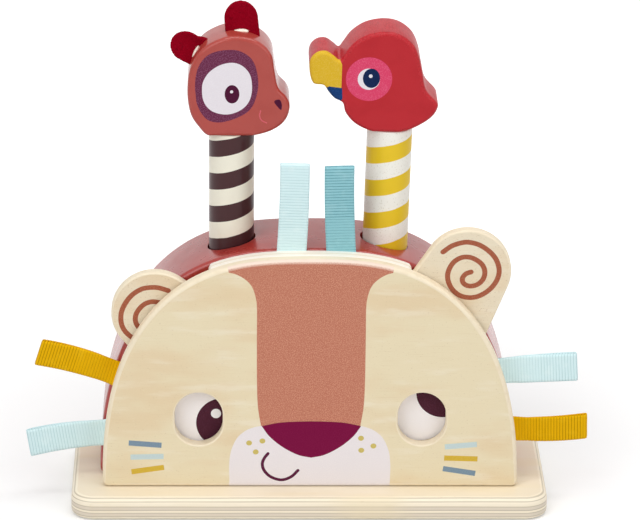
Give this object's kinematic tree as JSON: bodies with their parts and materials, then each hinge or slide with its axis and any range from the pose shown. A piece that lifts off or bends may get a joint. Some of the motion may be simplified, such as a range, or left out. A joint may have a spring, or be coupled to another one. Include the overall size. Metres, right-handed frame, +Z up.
{
  "type": "pop up animal toy",
  "caption": "Wooden toy with a lion face, tilting ears that roll its eyes, and striped sprung pegs with animal heads that pop up.",
  "frame": {"origin": "middle of the base plate's underside", "axes": "+Z up, +X to the right as the face is looked at, +Y from the face to the back"},
  "size_m": [0.2878, 0.093, 0.2603],
  "materials": {
    "base_ply": "satin lacquered ply",
    "face_ply": "matte printed ply",
    "spacer_wood": "bare wood",
    "lever_ply": "matte printed ply",
    "red_paint": "satin paint",
    "brown_striped_peg": "satin painted stripes",
    "yellow_striped_peg": "satin painted stripes",
    "panda_paint": "satin paint",
    "parrot_paint": "satin paint",
    "crimson_felt": "felt",
    "yellow_ribbon": "grosgrain",
    "light_blue_ribbon": "grosgrain",
    "teal_ribbon": "grosgrain",
    "dowel_wood": "bare beech",
    "steel": "zinc plated",
    "nylon": "moulded"
  },
  "bodies": {
    "root": {"base_plate": "base_ply", "base_screws": "steel", "body_block": "red_paint", "face_plate": "face_ply", "top_spacer": "spacer_wood", "bottom_spacer": "spacer_wood", "left_side_spacer": "spacer_wood", "right_side_spacer": "spacer_wood", "spacer_dowels": "dowel_wood", "left_pivot_pin": "steel", "right_pivot_pin": "steel", "left_pivot_washers": "nylon", "right_pivot_washers": "nylon", "ribbon_left_upper": "yellow_ribbon", "ribbon_left_lower": "light_blue_ribbon", "ribbon_right_upper": "light_blue_ribbon", "ribbon_right_lower": "yellow_ribbon", "ribbon_top_left": "light_blue_ribbon", "ribbon_top_right": "teal_ribbon"},
    "left_lever": {"left_ear_lever": "lever_ply"},
    "right_lever": {"right_ear_lever": "lever_ply"},
    "left_coil": {"left_spring": "steel"},
    "panda_popup": {"left_peg": "brown_striped_peg", "left_peg_collar": "dowel_wood", "left_collar_screw": "steel", "left_neck_dowel": "dowel_wood", "red_panda_head": "panda_paint", "panda_upper_ear": "crimson_felt", "panda_side_ear": "crimson_felt"},
    "right_coil": {"right_spring": "steel"},
    "parrot_popup": {"right_peg": "yellow_striped_peg", "right_peg_collar": "dowel_wood", "right_collar_screw": "steel", "right_neck_dowel": "dowel_wood", "parrot_head": "parrot_paint"}
  },
  "joints": [
    {"name": "left_ear_tilt", "type": "hinge", "parent": "root", "child": "left_lever", "pos_m": [-0.013, -0.02, 0.118], "axis": [0, 1, 0], "range_deg": [0, 19.5]},
    {"name": "right_ear_tilt", "type": "hinge", "parent": "root", "child": "right_lever", "pos_m": [0.013, -0.02, 0.118], "axis": [0, 1, 0], "range_deg": [0, 19.5]},
    {"name": "panda_spin", "type": "hinge", "parent": "root", "child": "left_coil", "pos_m": [-0.0398, 0.008, 0.01], "axis": [0, 0, 1], "continuous": true},
    {"name": "panda_press", "type": "slide", "parent": "left_coil", "child": "panda_popup", "axis": [0, 0, 1], "range_m": [-0.045, 0], "stiffness_N_per_m": 90, "springref_m": 0.02, "deforming": ["left_spring"]},
    {"name": "parrot_spin", "type": "hinge", "parent": "root", "child": "right_coil", "pos_m": [0.0382, 0.008, 0.1104], "axis": [0.0262, 0, 0.9997], "continuous": true},
    {"name": "parrot_press", "type": "slide", "parent": "right_coil", "child": "parrot_popup", "axis": [0.0262, 0, 0.9997], "range_m": [-0.045, 0], "stiffness_N_per_m": 90, "springref_m": 0.02, "deforming": ["right_spring"]}
  ]
}
